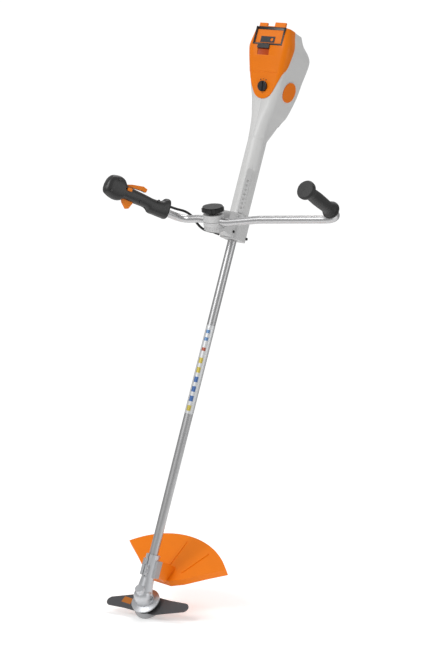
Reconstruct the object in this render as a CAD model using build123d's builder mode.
from build123d import *
import os
from math import atan, cos, degrees, pi, radians, sin, tan

os.makedirs("parts", exist_ok=True)

# A battery brush cutter with a two-handed bar. Millimetres.
# +Z runs along the drive tube towards the motor, -Y is the upper side in use,
# and +X is the operator's left. The origin is on the tube's axis at its balance point.

# ---------------------------------------------------------------- driving dimensions
gear_z = -900.0            # centre of the bevel gears, on the tube's axis
blade_tilt = 38.0          # angle between the tube and the plane of the blade
fit = 0.05                 # radial clearance of a running fit
gap = 0.4                  # clearance between pieces that move past each other

tube_r = 12.7
tube_wall = 1.6
tube_bottom = gear_z + 40
tube_top = 540.0
shaft_r = 4.0

blade_r = 130.0
blade_t = 2.0
blade_w = -38.0            # blade plane, measured from the gear centre along the spindle
spindle_r = 6.0
bearing_out_r = 13.0

guard_r = 245.0
guard_half_angle = 46.0

bar_r = 11.0
bar_wall = 2.0
clamp_y = -114.0
clamp_z = 173.5
clamp_tilt = 30.0
clamp_r = 29.0

neck_r = 27.5
neck_bottom = 180.0
neck_top = 445.0
wall = 3.0

battery_half_x = 50.0
battery_y = (-61.0, 12.0)
battery_z = (696.0, 762.0)

# ---------------------------------------------------------------- planes
spindle_axis = Vector(0, -cos(radians(blade_tilt)), sin(radians(blade_tilt)))
head = Plane(origin=(0, 0, gear_z), x_dir=(1, 0, 0), z_dir=spindle_axis)
side = Plane(origin=(0, 0, 0), x_dir=(0, 1, 0), z_dir=(1, 0, 0))
clamp_axis = Vector(0, -sin(radians(clamp_tilt)), cos(radians(clamp_tilt)))
clamp = Plane(origin=(0, clamp_y, clamp_z), x_dir=(1, 0, 0), z_dir=clamp_axis)


def turned(plane, angle):
    """The same plane, turned about its own normal."""
    a = radians(angle)
    new_x = plane.x_dir * cos(a) + plane.y_dir * sin(a)
    return Plane(origin=plane.origin, x_dir=new_x, z_dir=plane.z_dir)


def finish(builder, name):
    """Label a finished piece and write it to its own file."""
    builder.part.label = name
    export_step(builder.part, f"parts/{name}.step")


def ring(plane, low, high, outer, inner):
    """A plain ring about a plane's normal, as a part."""
    with BuildPart() as made:
        with BuildSketch(plane.offset(low)):
            Circle(outer)
            Circle(inner, mode=Mode.SUBTRACT)
        extrude(amount=high - low)
    return made.part


def rod(plane, low, high, radius):
    """A plain cylinder about a plane's normal, as a part."""
    with BuildPart() as made:
        with BuildSketch(plane.offset(low)):
            Circle(radius)
        extrude(amount=high - low)
    return made.part


def screw(plane, length, radius, head_r, head_h, socket=True):
    """A socket-head screw: the head stands on the plane and the shank goes below it."""
    with BuildPart() as made:
        with BuildSketch(plane):
            Circle(head_r)
        extrude(amount=head_h)
        if socket:
            with BuildSketch(plane.offset(head_h)):
                RegularPolygon(head_r * 0.5, 6)
            extrude(amount=-head_h * 0.55, mode=Mode.SUBTRACT)
        with BuildSketch(plane):
            Circle(radius)
        extrude(amount=-length)
    return made.part


# ---------------------------------------------------------------- bevel gears
# The two axes meet at the gear centre at 180 - 52 degrees, seen from the meshing side.
pinion_teeth = 12
gear_teeth = 16
cone_length = 18.5
tooth_face = 6.0
tooth_height = 2.2
tooth_sink = 0.5           # how far a tooth's root reaches into the cone
shaft_angle = 90 + blade_tilt
pinion_cone = degrees(
    atan(sin(radians(shaft_angle)) / (gear_teeth / pinion_teeth + cos(radians(shaft_angle))))
)
gear_cone = shaft_angle - pinion_cone


def bevel(plane, cone, teeth, body_back, phase):
    """A bevel gear whose apex is the plane's origin and whose body lies on the +normal side."""
    near = cone_length - tooth_face
    cross = Plane(origin=plane.origin, x_dir=plane.x_dir, z_dir=-plane.y_dir)
    along = Vector(sin(radians(cone)), cos(radians(cone)))
    out = Vector(cos(radians(cone)), -sin(radians(cone)))
    low = along * near - out * tooth_height * 0.55
    high = along * cone_length - out * tooth_height * 0.55
    with BuildPart() as made:
        with BuildSketch(cross):
            with BuildLine():
                Polyline(
                    (0, low.Y),
                    (low.X, low.Y),
                    (high.X, high.Y),
                    (high.X, body_back),
                    (0, body_back),
                    close=True,
                )
            make_face()
        revolve(axis=Axis(plane.origin, plane.z_dir))
        for index in range(teeth):
            turn = radians(360 / teeth * index + phase)
            radial = plane.x_dir * cos(turn) + plane.y_dir * sin(turn)
            line = radial * along.X + plane.z_dir * along.Y
            normal = radial * out.X + plane.z_dir * out.Y
            for_tooth = []
            for distance in (near + 0.1, cone_length - 0.1):
                size = distance / cone_length
                root_w = pi * cone_length * sin(radians(cone)) / teeth * 0.86 * size
                face = Plane(
                    origin=plane.origin + line * distance - normal * tooth_sink,
                    x_dir=normal.cross(line),
                    z_dir=line,
                )
                with BuildSketch(face) as section:
                    Trapezoid(root_w, tooth_height * size + 2 * tooth_sink, 70)
                for_tooth.append(section.sketch)
            loft(for_tooth)
    return made.part


pinion_plane = Plane(origin=(0, 0, gear_z), x_dir=(1, 0, 0), z_dir=(0, 0, 1))
gear_plane = Plane(origin=(0, 0, gear_z), x_dir=(1, 0, 0), z_dir=-spindle_axis)

with BuildPart() as pinion_gear:
    add(bevel(pinion_plane, pinion_cone, pinion_teeth, 22, 90))
    with BuildSketch(Plane.XY.offset(gear_z)):
        Circle(shaft_r)
    extrude(amount=30, mode=Mode.SUBTRACT)
    add(ring(Plane.XY, gear_z + 22, gear_z + 30, 7, shaft_r))
finish(pinion_gear, "pinion_gear")

with BuildPart() as bevel_gear:
    add(bevel(gear_plane, gear_cone, gear_teeth, 7.6, -90 + 180 / gear_teeth))
    with BuildSketch(gear_plane):
        Circle(spindle_r)
    extrude(amount=12, mode=Mode.SUBTRACT)
finish(bevel_gear, "bevel_gear")

# ---------------------------------------------------------------- gear head
lug_z = (gear_z + 66, gear_z + 82)         # the two clamping screws across the sleeve's slot
lug_x = 8.0
bearing_w = (-9.0, -17.0, -23.0, -31.0)   # top and bottom of the two spindle bearings
pinion_bearing_z = (gear_z + 23, gear_z + 31)
sleeve_top = gear_z + 119

with BuildPart() as gear_housing:
    with BuildSketch(Plane(origin=head.origin, x_dir=(1, 0, 0), z_dir=-head.y_dir)):
        with BuildLine():
            Polyline((0, -33), (19, -33), (20.5, -25), (41.5, -25), (41.5, -21), (27, -17), (27, 0))
            ThreePointArc((27, 0), (24, 13), (15, 22))
            Polyline((15, 22), (14, 34), (0, 34), (0, -33))
        make_face()
    revolve(axis=Axis(head.origin, spindle_axis))
    with BuildSketch(Plane.XY.offset(gear_z + 4)):
        Circle(24)
    with BuildSketch(Plane.XY.offset(gear_z + 52)):
        Circle(18.5)
    loft()
    with BuildSketch(Plane.XY.offset(gear_z + 50)):
        Circle(18.5)
    extrude(amount=69)
    with BuildSketch(Plane.XY.offset(gear_z + 108)):
        Circle(20)
    extrude(amount=11)
    # clamping lugs on the upper side, split by a slot
    with Locations(Pos(0, -22, gear_z + 74)):
        Box(2 * lug_x, 12, 30)
    # inside: bearing seats, gear chamber, tube seat
    add(rod(head, -40, -8, bearing_out_r), mode=Mode.SUBTRACT)
    add(rod(head, -8, 4, 22.5), mode=Mode.SUBTRACT)
    add(rod(Plane.XY, gear_z, gear_z + 24, 17), mode=Mode.SUBTRACT)
    add(rod(Plane.XY, gear_z + 20, gear_z + 40, 12), mode=Mode.SUBTRACT)
    add(rod(Plane.XY, tube_bottom, sleeve_top + 5, tube_r), mode=Mode.SUBTRACT)
    with Locations(Pos(0, -22, gear_z + 90)):
        Box(2.4, 26, 70, mode=Mode.SUBTRACT)
    for z in lug_z:
        add(rod(Plane(origin=(0, -24.5, z), x_dir=(0, 1, 0), z_dir=(1, 0, 0)), -lug_x, lug_x, 2),
            mode=Mode.SUBTRACT)
    # grease filler on the left of the chamber
    add(rod(Plane(origin=(0, 0, gear_z), x_dir=(0, 1, 0), z_dir=(1, 0, 0)), 10, 40, 4), mode=Mode.SUBTRACT)
finish(gear_housing, "gear_housing")

with BuildPart() as grease_plug:
    add(screw(Plane(origin=(27.0, 0, gear_z), x_dir=(0, 1, 0), z_dir=(1, 0, 0)), 4.5, 4, 6, 2.5))
finish(grease_plug, "grease_plug")

with BuildPart() as gear_bearings:
    add(ring(head, bearing_w[1], bearing_w[0], bearing_out_r, spindle_r + fit))
    add(ring(head, bearing_w[3], bearing_w[2], bearing_out_r, spindle_r + fit))
    add(ring(Plane.XY, *pinion_bearing_z, 12, 7 + fit))
finish(gear_bearings, "gear_bearings")

with BuildPart() as spindle_seal:
    add(ring(head, -33, -31, bearing_out_r, spindle_r + fit))
finish(spindle_seal, "spindle_seal")

with BuildPart() as output_spindle:
    add(rod(head, -66, -3, spindle_r))
    with BuildSketch(head.offset(-66)):
        Circle(4)
    extrude(amount=6, mode=Mode.SUBTRACT)
finish(output_spindle, "output_spindle")

with BuildPart() as thrust_plate:
    with BuildSketch(Plane(origin=head.origin, x_dir=(1, 0, 0), z_dir=-head.y_dir)):
        with BuildLine():
            Polyline(
                (spindle_r, -35),
                (18, -35),
                (18, -31.5 - 2.2),
                (33, -31.5 - 2.2),
                (36, -28),
                (38, -28),
                (38, -30),
                (35, blade_w + blade_t / 2),
                (spindle_r, blade_w + blade_t / 2),
                close=True,
            )
        make_face()
    revolve(axis=Axis(head.origin, spindle_axis))
finish(thrust_plate, "thrust_plate")

blade_turn = 12.0          # how far the blade is turned from the operator's left
with BuildPart() as grass_blade:
    blade_plane = turned(head.offset(blade_w - blade_t / 2), blade_turn)
    with BuildSketch(blade_plane):
        with BuildLine():
            half = Polyline((0, 30), (28, 27), (66, 21), (blade_r - 12, 17))
            ThreePointArc(half @ 1, (blade_r, 3), (blade_r - 10, -13))
            Polyline((blade_r - 10, -13), (72, -25), (34, -35), (0, -30))
            Line((0, -30), (0, 30))
        make_face()
        with BuildLine():
            half = Polyline((0, -30), (-28, -27), (-66, -21), (12 - blade_r, -17))
            ThreePointArc(half @ 1, (-blade_r, -3), (10 - blade_r, 13))
            Polyline((10 - blade_r, 13), (-72, 25), (-34, 35), (0, 30))
            Line((0, 30), (0, -30))
        make_face()
        Circle(spindle_r, mode=Mode.SUBTRACT)
    extrude(amount=blade_t)
finish(grass_blade, "grass_blade")

with BuildPart() as rider_plate:
    with BuildSketch(Plane(origin=head.origin, x_dir=(1, 0, 0), z_dir=-head.y_dir)):
        top = blade_w - blade_t / 2
        with BuildLine():
            Polyline(
                (spindle_r, top), (34, top), (41, top - 8), (40, top - 14), (22, top - 15),
                (22, top - 12), (36, top - 11), (30, top - 4), (spindle_r, top - 4), close=True,
            )
        make_face()
    revolve(axis=Axis(head.origin, spindle_axis))
finish(rider_plate, "rider_plate")

with BuildPart() as blade_nut:
    with BuildSketch(head.offset(blade_w - blade_t / 2 - 4)):
        Circle(15)
    extrude(amount=-2.5)
    with BuildSketch(head.offset(blade_w - blade_t / 2 - 6.5)):
        RegularPolygon(9.8, 6)
    extrude(amount=-10)
    with BuildSketch(head.offset(blade_w - blade_t / 2 - 4)):
        Circle(spindle_r)
    extrude(amount=-14, mode=Mode.SUBTRACT)
finish(blade_nut, "blade_nut")

# ---------------------------------------------------------------- guard
guard_w = -14.0
guard_t = 3.0
skirt_low = -34.0
guard_centre = Plane(origin=head.origin, x_dir=head.y_dir, z_dir=spindle_axis)


def guard_face(inset):
    """Outline of the guard seen along the spindle, x away from it towards the operator."""
    a = radians(guard_half_angle)
    end = (guard_r * cos(a), guard_r * sin(a))
    front = [end, (138, 128), (96, 70), (78, 34)]
    with BuildSketch(guard_centre.offset(skirt_low)) as face:
        with BuildLine():
            ThreePointArc((end[0], -end[1]), (guard_r, 0), end)
            Polyline(*front, *[(x, -y) for x, y in reversed(front)])
        make_face()
        if inset:
            offset(amount=-inset, kind=Kind.INTERSECTION, mode=Mode.REPLACE)
    return face.sketch


guard_top = guard_w + guard_t
with BuildPart() as guard_shell:
    extrude(guard_face(0), amount=guard_top - skirt_low, dir=spindle_axis)
    extrude(guard_face(guard_t), amount=guard_w - skirt_low, dir=spindle_axis, mode=Mode.SUBTRACT)
    # ribs across the top
    for angle in (-24, 0, 24):
        with BuildSketch(turned(guard_centre.offset(guard_top), angle)):
            with Locations((178, 0)):
                SlotOverall(96, 7)
        extrude(amount=2)
finish(guard_shell, "guard_shell")

guard_screw_at = [(112, 18), (112, -18)]

# the bracket: a saddle behind the gear sleeve and a tongue over the guard's front edge
saddle_z = (gear_z + 56, gear_z + 104)


def head_point(v, w):
    """(Y, Z) of a point v behind the spindle and w up along it."""
    a = radians(blade_tilt)
    return (-w * cos(a) + v * sin(a), gear_z + w * sin(a) + v * cos(a))


with BuildPart() as guard_bracket:
    with BuildSketch(side):
        with BuildLine():
            Polyline(
                (-6, saddle_z[0]),
                (-6, saddle_z[1]),
                (30, saddle_z[1]),
                head_point(126, guard_top + 6),
                head_point(126, guard_top),
                head_point(70, guard_top),
                (24, saddle_z[0]),
                close=True,
            )
        make_face()
    extrude(amount=26, both=True)
    fillet(edges().filter_by(Axis.X).group_by(Axis.Y)[-1], 2)
    add(rod(Plane.XY, saddle_z[0] - 1, saddle_z[1] + 1, 18.5), mode=Mode.SUBTRACT)
    for v, u in guard_screw_at:
        at = guard_centre.offset(0)
        at.origin = at.origin + head.y_dir * v + Vector(u, 0, 0)
        add(rod(at, guard_top - 1, guard_top + 30, 2.5), mode=Mode.SUBTRACT)
        add(rod(at, guard_top + 6, guard_top + 60, 7), mode=Mode.SUBTRACT)
finish(guard_bracket, "guard_bracket")

with BuildPart() as head_screws:
    for z in lug_z:
        add(screw(Plane(origin=(lug_x, -24.5, z), x_dir=(0, 1, 0), z_dir=(1, 0, 0)), 14, 2, 3.4, 3.5))
    for v, u in guard_screw_at:
        at = guard_centre.offset(guard_top + 6)
        at.origin = at.origin + head.y_dir * v + Vector(u, 0, 0)
        add(screw(at, 6, 2.5, 5, 3.5))
finish(head_screws, "head_screws")

# ---------------------------------------------------------------- tube and drive shaft
with BuildPart() as drive_tube:
    add(ring(Plane.XY, tube_bottom, tube_top, tube_r, tube_r - tube_wall))
finish(drive_tube, "drive_tube")

coupling_z = 560.0
with BuildPart() as drive_shaft:
    add(rod(Plane.XY, gear_z + 8, coupling_z + 14, shaft_r))
finish(drive_shaft, "drive_shaft")

bushing_z = (-780.0, -540.0, -300.0, -60.0, 180.0, 420.0)
with BuildPart() as shaft_bushings:
    for z in bushing_z:
        add(ring(Plane.XY, z, z + 14, tube_r - tube_wall, shaft_r + fit))
finish(shaft_bushings, "shaft_bushings")

label_z = (-370.0, -110.0)
with BuildPart() as tube_label:
    add(ring(Plane.XY, *label_z, tube_r + 0.3, tube_r))
finish(tube_label, "tube_label")

# ---------------------------------------------------------------- neck and handle bracket
with BuildPart() as neck_sleeve:
    add(rod(Plane.XY, neck_bottom, neck_top, neck_r))
    add(rod(Plane.XY, neck_bottom + 12, neck_top - 8, neck_r - wall), mode=Mode.SUBTRACT)
    add(rod(Plane.XY, neck_bottom - 1, neck_top + 1, tube_r), mode=Mode.SUBTRACT)
finish(neck_sleeve, "neck_sleeve")

bracket_z = (145.0, 218.0)
bracket_x = 31.0
arm_x = 22.0
seat_low, seat_high = -24.0, -12.4         # the toothed seat under the bar clamp, along its axis


def clamp_point(forward, up):
    """(Y, Z) of a point in the bar clamp's own section."""
    a = radians(clamp_tilt)
    return (clamp_y + forward * cos(a) - up * sin(a), clamp_z + forward * sin(a) + up * cos(a))


with BuildPart() as bracket_whole:
    with BuildSketch(Plane.XY.offset(bracket_z[0])):
        with Locations((0, -1)):
            RectangleRounded(2 * bracket_x, 64, 16)
    extrude(amount=bracket_z[1] - bracket_z[0])
    with BuildSketch(side):
        with BuildLine():
            Polyline(
                (-20, bracket_z[0] + 1),
                (-20, bracket_z[1]),
                (-42, bracket_z[1]),
                (-72, 215),
                (-75, 180),
                clamp_point(29, seat_low),
                clamp_point(-12, seat_low),
                clamp_point(-10, seat_low - 8),
                clamp_point(20, seat_low - 10),
                (-68, 152),
                close=True,
            )
        make_face()
    extrude(amount=arm_x, both=True)
    fillet(edges().filter_by(Axis.X).group_by(Axis.Z)[-1], 4)
    add(rod(clamp, seat_low - 30, 0, 4.4), mode=Mode.SUBTRACT)
    add(rod(Plane.XY, neck_bottom, bracket_z[1] + 1, neck_r), mode=Mode.SUBTRACT)
    add(rod(Plane.XY, bracket_z[0] - 1, neck_bottom + 1, tube_r), mode=Mode.SUBTRACT)

bracket_screw_at = [(-33.5, 200.0), (-38.0, 163.0), (22.0, 157.0), (-58.0, 186.0)]


def bracket_screw_set(socket):
    """The screws that draw the two halves of the handle bracket together."""
    made = []
    for y, z in bracket_screw_at:
        head_x = (bracket_x if y > -34 else arm_x) - 0.5
        plane = Plane(origin=(head_x, y, z), x_dir=(0, 1, 0), z_dir=(1, 0, 0))
        made.append(screw(plane, head_x + 12, 2.2, 4, 3, socket))
    return made


with BuildPart() as support_screws:
    add(bracket_screw_set(True))
finish(support_screws, "support_screws")

for name, side_kept in (("support_shell_left", Keep.TOP), ("support_shell_right", Keep.BOTTOM)):
    with BuildPart() as support_shell:
        add(bracket_whole.part)
        split(bisect_by=Plane.YZ, keep=side_kept)
        add(bracket_screw_set(False), mode=Mode.SUBTRACT)
    finish(support_shell, name)

# ---------------------------------------------------------------- bar clamp
teeth_count = 36
knob_low, knob_high = 22.0, 42.0
knob_r = 32.0
stud_r = 4.0

with BuildPart() as clamp_seat:
    add(ring(clamp, seat_low, seat_high, clamp_r - 1, stud_r + 0.4))
    with BuildSketch(clamp.offset(seat_low + 3)):
        with PolarLocations(clamp_r - 1, teeth_count):
            Rectangle(1.6, 2.4)
    extrude(amount=seat_high - seat_low - 3, mode=Mode.SUBTRACT)
finish(clamp_seat, "clamp_seat")

bar_plane = Plane(origin=(0, clamp_y, clamp_z), x_dir=(0, 1, 0), z_dir=(1, 0, 0))
with BuildPart() as clamp_lower:
    add(ring(clamp, seat_high + gap, -0.5, clamp_r, stud_r + fit))
    add(rod(bar_plane, -40, 40, bar_r), mode=Mode.SUBTRACT)
finish(clamp_lower, "clamp_lower")

with BuildPart() as clamp_upper:
    add(rod(clamp, 0.5, 20, clamp_r))
    add(rod(clamp, 0, 21, stud_r + fit), mode=Mode.SUBTRACT)
    add(rod(bar_plane, -40, 40, bar_r), mode=Mode.SUBTRACT)
finish(clamp_upper, "clamp_upper")

with BuildPart() as clamp_knob:
    with BuildSketch(clamp.offset(knob_low)):
        Circle(14)
    with BuildSketch(clamp.offset(knob_low + 7)):
        Circle(knob_r)
    loft()
    with BuildSketch(clamp.offset(knob_low + 7)):
        Circle(knob_r)
    extrude(amount=knob_high - knob_low - 10)
    with BuildSketch(clamp.offset(knob_high - 3)):
        Circle(knob_r - 3)
    extrude(amount=3)
    with BuildSketch(clamp.offset(knob_low)):
        with PolarLocations(knob_r + 4, 7):
            Circle(8)
    extrude(amount=knob_high - knob_low, mode=Mode.SUBTRACT)
    add(rod(clamp, knob_low - 1, knob_low + 12, stud_r), mode=Mode.SUBTRACT)
finish(clamp_knob, "clamp_knob")

with BuildPart() as knob_stud:
    add(rod(clamp, seat_low - 6, knob_low + 12, stud_r))
finish(knob_stud, "knob_stud")

# ---------------------------------------------------------------- handlebar
right_corner = Vector(-105, clamp_y, 164.0)
right_dir = Vector(-0.45, -0.89, 0.05).normalized()
left_corner = Vector(411, clamp_y, 229.0)
left_dir = Vector(0, -0.994, 0.113).normalized()
bar_points = [
    right_corner + right_dir * 108,
    right_corner,
    Vector(-45, clamp_y, clamp_z),
    Vector(45, clamp_y, clamp_z),
    Vector(150, clamp_y, 195.0),
    left_corner,
    left_corner + left_dir * 208,
]
bar_bends = [40, 150, 150, 200, 55]
with BuildPart() as handlebar_tube:
    with BuildLine() as bar_path:
        FilletPolyline(*bar_points, radius=bar_bends)
    with BuildSketch(Plane(origin=bar_path.line @ 0, z_dir=bar_path.line % 0)):
        Circle(bar_r)
        Circle(bar_r - bar_wall, mode=Mode.SUBTRACT)
    sweep()
    add(rod(clamp, -20, 20, stud_r + fit), mode=Mode.SUBTRACT)
finish(handlebar_tube, "handlebar_tube")

grip = Plane(origin=left_corner, x_dir=(1, 0, 0), z_dir=left_dir)
grip_section = Plane(origin=left_corner, x_dir=(1, 0, 0), z_dir=-grip.y_dir)
with BuildPart() as left_grip:
    with BuildSketch(grip_section):
        with BuildLine():
            Polyline(
                (bar_r, 64), (22, 64), (24, 67), (24, 71), (21, 74), (21, 79), (18.5, 83),
                (16.5, 90), (17.5, 120), (18, 150), (16.5, 185), (19, 200), (25.5, 206),
                (26, 212), (22, 218), (0, 219), (0, 208), (bar_r, 208), close=True,
            )
        make_face()
    revolve(axis=Axis(left_corner, left_dir))
finish(left_grip, "left_grip")

# ---------------------------------------------------------------- control handle
up_dir = (Vector(0, 0, 1) - right_dir * right_dir.Z).normalized()
handle = Plane(origin=right_corner, x_dir=right_dir, z_dir=right_dir.cross(up_dir))
handle_end = Plane(origin=right_corner, x_dir=up_dir, z_dir=right_dir)
handle_half = 19.0
handle_start = 56.0
handle_pivots = {"trigger": (203.0, 0.0), "lever": (197.0, 25.0)}
pin_r = 2.0


def handle_block(outline, half, rounding=0):
    """A plate in the handle's middle plane, the same thickness to both sides."""
    with BuildPart() as made:
        with BuildSketch(handle):
            with BuildLine():
                Polyline(*outline, close=True)
            make_face()
            if rounding:
                fillet(vertices(), rounding)
        extrude(amount=half, both=True)
    return made.part


def handle_pin(at, half, radius):
    """A pin across the handle."""
    plane = Plane(origin=handle.from_local_coords((at[0], at[1], 0)), x_dir=right_dir, z_dir=handle.z_dir)
    return rod(plane, -half, half, radius)


handle_outline = [
    (handle_start, -20), (handle_start, 34), (60, 38), (70, 38), (77, 26), (110, 23), (185, 29),
    (203, 32), (211, 45), (228, 50), (250, 45), (263, 16), (261, -7), (248, -14), (222, -20),
    (210, -18), (200, -9), (126, -9), (118, -20),
]
with BuildPart() as handle_whole:
    add(handle_block(handle_outline, handle_half, 2.0))
    with BuildSketch(handle) as cavity_face:
        with BuildLine():
            Polyline(*handle_outline, close=True)
        make_face()
        offset(amount=-wall, kind=Kind.ARC, mode=Mode.REPLACE)
    extrude(amount=handle_half - wall, both=True, mode=Mode.SUBTRACT)
    # the clamping block round the bar's end
    with BuildSketch(handle):
        with Locations((88, 0)):
            Rectangle(60, 34)
    extrude(amount=handle_half - wall, both=True)
    add(rod(handle_end, handle_start - 1, 108, bar_r), mode=Mode.SUBTRACT)
    # slots for the trigger, the lockout lever and the slider
    add(handle_block([(162, -30), (162, 2), (207, 2), (207, -30)], 6.6), mode=Mode.SUBTRACT)
    add(handle_block([(132, 20), (132, 50), (203, 50), (203, 20)], 7.0), mode=Mode.SUBTRACT)
    with BuildSketch(handle.offset(-handle_half - 1)):
        with Locations((196.5, 20)):
            SlotOverall(18, 5)
    extrude(amount=wall + 2, mode=Mode.SUBTRACT)

handle_screw_at = [(98.0, 21.0), (150.0, -1.0), (230.0, 36.0), (246.0, 0.0)]


def handle_screw_set(socket):
    """The screws that join the two halves of the control handle."""
    made = []
    for s, x in handle_screw_at:
        origin = handle.from_local_coords((s, x, -handle_half + 2))
        plane = Plane(origin=origin, x_dir=right_dir, z_dir=-handle.z_dir)
        made.append(screw(plane, handle_half + 8, 1.8, 3.4, 2.5, socket))
    return made


with BuildPart() as handle_screws:
    add(handle_screw_set(True))
finish(handle_screws, "handle_screws")

with BuildPart() as handle_pins:
    for at in handle_pivots.values():
        add(handle_pin(at, handle_half - 1, pin_r))
finish(handle_pins, "handle_pins")

for name, side_kept in (("handle_shell_front", Keep.BOTTOM), ("handle_shell_rear", Keep.TOP)):
    with BuildPart() as handle_shell:
        add(handle_whole.part)
        split(bisect_by=handle, keep=side_kept)
        add(handle_screw_set(False), mode=Mode.SUBTRACT)
        add(handle_pins.part, mode=Mode.SUBTRACT)
    finish(handle_shell, name)

with BuildPart() as trigger:
    add(handle_block(
        [(168, -3), (203, 4), (207, 0), (203, -8), (196, -19), (181, -32), (175, -29), (168, -12)], 6, 1.2
    ))
    add(handle_pin(handle_pivots["trigger"], 7, pin_r + fit), mode=Mode.SUBTRACT)
finish(trigger, "trigger")

with BuildPart() as lockout_lever:
    add(handle_block(
        [(138, 31), (136, 41), (150, 45), (186, 38), (200, 33), (201, 22), (192, 21), (186, 30), (150, 32)],
        6.4, 1.2,
    ))
    add(handle_pin(handle_pivots["lever"], 8, pin_r + fit), mode=Mode.SUBTRACT)
finish(lockout_lever, "lockout_lever")

with BuildPart() as unlock_slider:
    with BuildSketch(handle.offset(-handle_half - 4)):
        with Locations((194, 20)):
            RectangleRounded(13, 9, 2)
    extrude(amount=3.7)
    with BuildSketch(handle.offset(-handle_half - 1)):
        with Locations((194, 20)):
            Rectangle(4, 4)
    extrude(amount=wall + 2)
finish(unlock_slider, "unlock_slider")

with BuildPart() as trigger_switch:
    add(handle_block([(134, -4), (134, 10), (160, 10), (160, -4)], 8))
    add(handle_screw_set(False), mode=Mode.SUBTRACT)
finish(trigger_switch, "trigger_switch")

spring_at = handle.from_local_coords((178, 0, 0))
spring_plane = Plane(origin=(spring_at.X, spring_at.Y, 0), x_dir=(1, 0, 0), z_dir=(0, 0, 1))
spring_low = spring_at.Z
with BuildPart() as trigger_spring:
    add(ring(spring_plane, spring_low + 1, spring_low + 16, 3, 1.5))
finish(trigger_spring, "trigger_spring")

# ---------------------------------------------------------------- control cable
cable_r = 3.6
cable_points = [
    right_corner + right_dir * handle_start + up_dir * 20,
    right_corner + right_dir * (handle_start - 25) + up_dir * 20,
    Vector(-103, -117, 188),
    Vector(-88, -98, 180),
    Vector(-78, -88, 167),
    Vector(-67, -76, 155),
    Vector(-52, -63, 149),
    Vector(-33, -53, 151),
]
legs = [b - a for a, b in zip(cable_points, cable_points[1:])]
cable_bends = []
for before, after in zip(legs, legs[1:]):
    turn = radians(before.get_angle(after))
    cable_bends.append(0.45 * min(before.length, after.length) / tan(turn / 2))
print("cable radii", [round(r, 1) for r in cable_bends])
with BuildPart() as control_cable:
    with BuildLine() as cable_path:
        FilletPolyline(*cable_points, radius=cable_bends)
    with BuildSketch(Plane(origin=cable_path.line @ 0, z_dir=cable_path.line % 0)):
        Circle(cable_r)
    sweep()
cable_length = cable_path.wires()[0].length
print("cable volume", round(control_cable.part.volume), round(pi * cable_r**2 * cable_length))
finish(control_cable, "control_cable")

cable_exit = (cable_points[-1] - cable_points[-2]).normalized()
boot = Plane(origin=cable_points[-1], x_dir=(0, 0, 1), z_dir=cable_exit)
with BuildPart() as cable_boot:
    with BuildSketch(boot):
        Circle(cable_r + 0.8)
    with BuildSketch(boot.offset(16)):
        Circle(8)
    loft()
    add(bracket_whole.part, mode=Mode.SUBTRACT)
finish(cable_boot, "cable_boot")

# ---------------------------------------------------------------- motor housing
# Each section: height, half width, upper and under side, corner radius.
housing_sections = [
    (neck_top, 27.6, -27.6, 27.6, 27.0),
    (475, 28.5, -28, 44, 24),
    (510, 33, -28, 62, 24),
    (530, 38, -28, 74, 23),
    (564, 45, -31, 80, 22),
    (600, 53, -40, 80, 20),
    (640, 59, -50, 79, 20),
    (703, 68, -66, 78, 20),
    (722, 66, -67, 66, 20),
    (740, 61, -67, 36, 18),
    (762, 56, -66, 21, 16),
]


def housing_form(grow, low=neck_top, high=762.0):
    """The housing's outer form, grown or shrunk, between two heights."""
    with BuildPart() as made:
        for z, half_x, y_low, y_high, corner in housing_sections:
            with BuildSketch(Plane.XY.offset(z)):
                with Locations((0, (y_low + y_high) / 2)):
                    RectangleRounded(
                        2 * (half_x + grow), y_high - y_low + 2 * grow, corner + min(grow, 0)
                    )
        loft(ruled=True)
        if low > neck_top:
            split(bisect_by=Plane.XY.offset(low), keep=Keep.TOP)
        if high < 762:
            split(bisect_by=Plane.XY.offset(high), keep=Keep.BOTTOM)
    return made.part


def half_width(z):
    """Half the housing's width at a height."""
    for (z0, w0, *_), (z1, w1, *_) in zip(housing_sections, housing_sections[1:]):
        if z0 <= z <= z1:
            return w0 + (w1 - w0) * (z - z0) / (z1 - z0)
    return 0


def block(low, high):
    """A box between two corners, as a part."""
    with BuildPart() as made:
        with BuildSketch(Plane.XY.offset(low[2])):
            with Locations(((low[0] + high[0]) / 2, (low[1] + high[1]) / 2)):
                Rectangle(high[0] - low[0], high[1] - low[1])
        extrude(amount=high[2] - low[2])
    return made.part


outer_form = housing_form(0)
cover_form = housing_form(2.5)
inner_form = housing_form(-wall, neck_top + wall, 744)
bay_gap = 0.6
bay_x = battery_half_x + bay_gap
bay_y = battery_y[1] + bay_gap
bay_floor = battery_z[0] - bay_gap
window_x = 45.6
window_z = 713.0
latch_x = (-31.0, 9.0)
latch_z = (698.0, 709.0)
bearing_z = ((592.0, 600.0), (672.0, 680.0))
stator_z = (607.0, 665.0)
motor_shaft_r = 5.0
boss_at = [(36.0, 484.0), (62.0, 545.0), (69.0, 619.0), (66.0, 690.0), (-23.0, 572.0), (-46.0, 667.0)]


def housing_screw_set(socket):
    """The screws that join the two halves of the housing, with their heads on the right side."""
    made = []
    for y, z in boss_at:
        head_x = -half_width(z) + (4 if y > 0 else 13)
        plane = Plane(origin=(head_x, y, z), x_dir=(0, 1, 0), z_dir=(-1, 0, 0))
        made.append(screw(plane, 16 - head_x, 2, 4, 3, socket))
    return made


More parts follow.
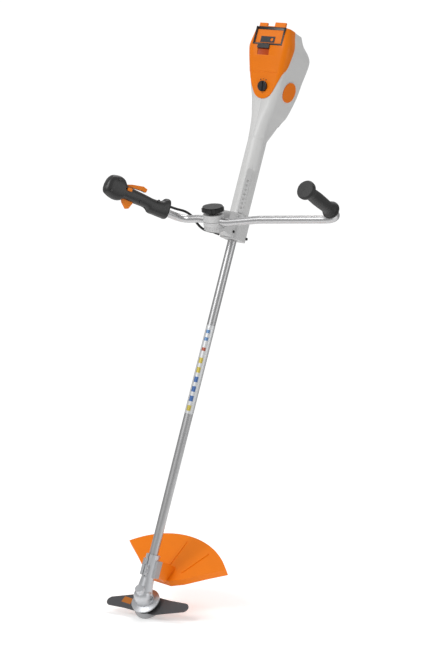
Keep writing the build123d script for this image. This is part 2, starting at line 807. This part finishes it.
vent_zone = block((-25, 38, 502), (25, 95, 566))
latch_hole = block(
    (latch_x[0] - bay_gap, -90, latch_z[0] - bay_gap), (latch_x[1] + bay_gap, -52, latch_z[1] + bay_gap)
)
with BuildPart() as housing_whole:
    add(outer_form)
    add(inner_form, mode=Mode.SUBTRACT)
    add(outer_form & block((-bay_x - wall, -64.4, bay_floor - wall), (bay_x + wall, bay_y + wall, 762)))
    for low, high, hole in (
        (*bearing_z[0], bearing_out_r), (*bearing_z[1], bearing_out_r), (626.0, 632.0, 32.0)
    ):
        add(outer_form & block((-90, -90, low), (90, 38, high)))
        add(rod(Plane.XY, low - 0.1, high + 0.1, hole), mode=Mode.SUBTRACT)
    for y, z in boss_at:
        boss = rod(Plane(origin=(0, y, z), x_dir=(0, 1, 0), z_dir=(1, 0, 0)), -80, 80, 5.5)
        add(outer_form & boss)
    add(rod(Plane.XY, neck_top - 1, tube_top, tube_r), mode=Mode.SUBTRACT)
    add(block((-bay_x, battery_y[0] - bay_gap, bay_floor), (bay_x, bay_y, 800)), mode=Mode.SUBTRACT)
    add(block((-window_x, -90, window_z), (window_x, -50, 800)), mode=Mode.SUBTRACT)
    add(latch_hole, mode=Mode.SUBTRACT)
    add(vent_zone, mode=Mode.SUBTRACT)

for name, side_kept in (("housing_left", Keep.TOP), ("housing_right", Keep.BOTTOM)):
    with BuildPart() as housing_half:
        add(housing_whole.part)
        split(bisect_by=Plane.YZ, keep=side_kept)
        add(housing_screw_set(False), mode=Mode.SUBTRACT)
    finish(housing_half, name)

with BuildPart() as housing_screws:
    add(housing_screw_set(True))
finish(housing_screws, "housing_screws")

with BuildPart() as vent_grille:
    add(housing_form(0.8) & vent_zone)
    add(housing_form(-2.2), mode=Mode.SUBTRACT)
    for row in range(8):
        add(block((-20, 30, 507 + 7.2 * row), (20, 95, 510.6 + 7.2 * row)), mode=Mode.SUBTRACT)
finish(vent_grille, "vent_grille")

# the coloured cover over the upper side, and the black frame round the battery window
dial_tilt = 14.4
dial_y, dial_z = -38.7, 595.0
dial_axis = Vector(0, -cos(radians(dial_tilt)), -sin(radians(dial_tilt)))
dial = Plane(origin=(0, dial_y, dial_z), x_dir=(1, 0, 0), z_dir=dial_axis)
dial_r = 15.0
frame_x = 50.0
cover_low = 560.0
with BuildPart() as top_cover:
    with BuildSketch(side):
        with BuildLine():
            Polyline(
                (-110, cover_low), (-110, 762), (-30, 762), (-33, 680), (-33, cover_low), close=True
            )
        make_face()
    extrude(amount=100, both=True)
    with BuildSketch(Plane.XZ):
        with BuildLine():
            Spline(
                (0, cover_low), (22.5, 568), (32.5, 580), (41.4, 598), (50.6, 620), (58.3, 640), (64, 660),
                tangents=((1, 0), (0.25, 1)),
            )
            Polyline((64, 660), (100, 670), (100, 770), (0, 770), (0, cover_low))
        make_face()
        mirror(about=Plane.YZ)
    extrude(amount=120, both=True, mode=Mode.INTERSECT)
    add(cover_form, mode=Mode.INTERSECT)
    add(outer_form, mode=Mode.SUBTRACT)
    add(block((-frame_x, -90, window_z - 4.4), (frame_x, -50, 800)), mode=Mode.SUBTRACT)
    add(latch_hole, mode=Mode.SUBTRACT)
    add(rod(dial, -6, 12, dial_r + gap), mode=Mode.SUBTRACT)
finish(top_cover, "top_cover")

with BuildPart() as bay_frame:
    add(block((-frame_x, -72, window_z - 4.4), (frame_x, -60, 762)))
    add(outer_form, mode=Mode.SUBTRACT)
    add(block((-window_x, -90, window_z), (window_x, -50, 800)), mode=Mode.SUBTRACT)
    add(latch_hole, mode=Mode.SUBTRACT)
finish(bay_frame, "bay_frame")

with BuildPart() as speed_dial:
    add(rod(dial, 0.8, 8, dial_r))
    with BuildSketch(dial.offset(8)):
        Rectangle(5, 2 * dial_r - 3)
    extrude(amount=3)
    fillet(edges().group_by(SortBy.LENGTH)[-1], 0.8)
finish(speed_dial, "speed_dial")

badge_draft = 10.5
badge_axis = Vector(cos(radians(badge_draft)), 0, -sin(radians(badge_draft)))
badge = Plane(origin=(half_width(598), 20, 598), x_dir=(0, 1, 0), z_dir=badge_axis)
with BuildPart() as side_badge:
    add(rod(badge, -1.5, 2.2, 29))
    add(outer_form, mode=Mode.SUBTRACT)
    add(top_cover.part, mode=Mode.SUBTRACT)
finish(side_badge, "side_badge")

with BuildPart() as battery_latch:
    add(block((latch_x[0], -72.5, latch_z[0]), (latch_x[1], -62.5, latch_z[1])))
finish(battery_latch, "battery_latch")

# ---------------------------------------------------------------- battery
with BuildPart() as battery_case:
    with BuildSketch(Plane.XY.offset(battery_z[0])):
        with Locations((0, sum(battery_y) / 2)):
            RectangleRounded(2 * battery_half_x, battery_y[1] - battery_y[0], 6)
    extrude(amount=battery_z[1] - battery_z[0])
    fillet(faces().sort_by(Axis.Z)[-1].edges(), 5)
    add(block((latch_x[0] - 3, -70, 690), (latch_x[1] + 3, -53, latch_z[1] + 3)), mode=Mode.SUBTRACT)
    add(block((-13, -31, 690), (13, -19, 706)), mode=Mode.SUBTRACT)
finish(battery_case, "battery_case")

face_z = (window_z + 0.6, 765.0)
ear_z = (774.0, 777.0)
with BuildPart() as battery_face:
    add(block((-window_x + 0.6, -67, face_z[0]), (window_x - 0.6, battery_y[0], face_z[1])))
    for low_x, high_x, ear_top in ((-44.5, -18, ear_z[0]), (8, 44.5, ear_z[1])):
        add(block((low_x, -67, face_z[1]), (high_x, battery_y[0], ear_top)))
finish(battery_face, "battery_face")

with BuildPart() as charge_panel:
    add(block((-28, -68, 716), (20, -67, 734)))
    add(rod(Plane(origin=(10, -66, 725), x_dir=(1, 0, 0), z_dir=(0, -1, 0)), 0, 5, 5), mode=Mode.SUBTRACT)
finish(charge_panel, "charge_panel")

with BuildPart() as battery_contacts:
    add(block((-12, -30, bay_floor), (12, -20, 703)))
    for x in (-7, 0, 7):
        add(block((x - 1.5, -31, 697), (x + 1.5, -19, 704)), mode=Mode.SUBTRACT)
finish(battery_contacts, "battery_contacts")

# ---------------------------------------------------------------- motor and electronics
with BuildPart() as motor_stator:
    add(ring(Plane.XY, *stator_z, 32, 18.8))
    with BuildSketch(Plane.XY.offset(stator_z[0])):
        with PolarLocations(23.5, 9):
            Rectangle(6, 3.4)
    extrude(amount=stator_z[1] - stator_z[0], mode=Mode.SUBTRACT)
finish(motor_stator, "motor_stator")

with BuildPart() as motor_rotor:
    add(rod(Plane.XY, coupling_z + 14, 690, motor_shaft_r))
    add(rod(Plane.XY, stator_z[0] + 2, stator_z[1] - 2, 18))
finish(motor_rotor, "motor_rotor")

with BuildPart() as motor_bearings:
    for low, high in bearing_z:
        add(ring(Plane.XY, low, high, bearing_out_r, motor_shaft_r + fit))
finish(motor_bearings, "motor_bearings")

with BuildPart() as shaft_coupling:
    add(ring(Plane.XY, coupling_z, coupling_z + 14, 9, shaft_r))
    add(ring(Plane.XY, coupling_z + 14, coupling_z + 28, 9, motor_shaft_r))
finish(shaft_coupling, "shaft_coupling")

with BuildPart() as cooling_fan:
    add(ring(Plane.XY, 682, 684, 36, motor_shaft_r))
    add(ring(Plane.XY, 684, 690, 9, motor_shaft_r))
    with BuildSketch(Plane.XY.offset(684)):
        with PolarLocations(22, 11):
            Rectangle(27, 1.6)
    extrude(amount=6)
finish(cooling_fan, "cooling_fan")

with BuildPart() as controller_board:
    add(block((-34, 48, 560), (34, 50, 670)))
    add(block((-24, 50, 576), (24, 60, 640)))
    for x in (-18, 0, 18):
        add(rod(Plane.XY.offset(0), 646, 664, 4).moved(Location((x, 44, 0))))
finish(controller_board, "controller_board")

# ---------------------------------------------------------------- carrying rail
rail_angle = 36.0          # how far the rail is turned from the upper side towards the left
rail_axis = Vector(sin(radians(rail_angle)), -cos(radians(rail_angle)), 0)
rail_z = (222.0, 352.0)
rail_t = 3.0
rail_off = neck_r + 6.0
hole_r = 3.6
hole_pitch = 13.3
rail_holes = 7
first_hole = 236.0
rail = Plane(origin=(0, 0, 0), x_dir=(0, 0, 1), z_dir=rail_axis)
with BuildPart() as carry_rail:
    with BuildSketch(rail.offset(rail_off)):
        with Locations((sum(rail_z) / 2, 0)):
            RectangleRounded(rail_z[1] - rail_z[0], 15, 3)
    extrude(amount=rail_t)
    for z in (rail_z[0] + 3, rail_z[1] - 3):
        with BuildSketch(rail.offset(neck_r - 3)):
            with Locations((z, 0)):
                Rectangle(5, 12)
        extrude(amount=rail_off - neck_r + 3.5)
    with BuildSketch(rail.offset(rail_off - 1)):
        for index in range(rail_holes):
            with Locations((first_hole + hole_pitch * index, 0)):
                Circle(hole_r)
    extrude(amount=rail_t + 2, mode=Mode.SUBTRACT)
    add(rod(Plane.XY, 200, 380, neck_r), mode=Mode.SUBTRACT)
finish(carry_rail, "carry_rail")
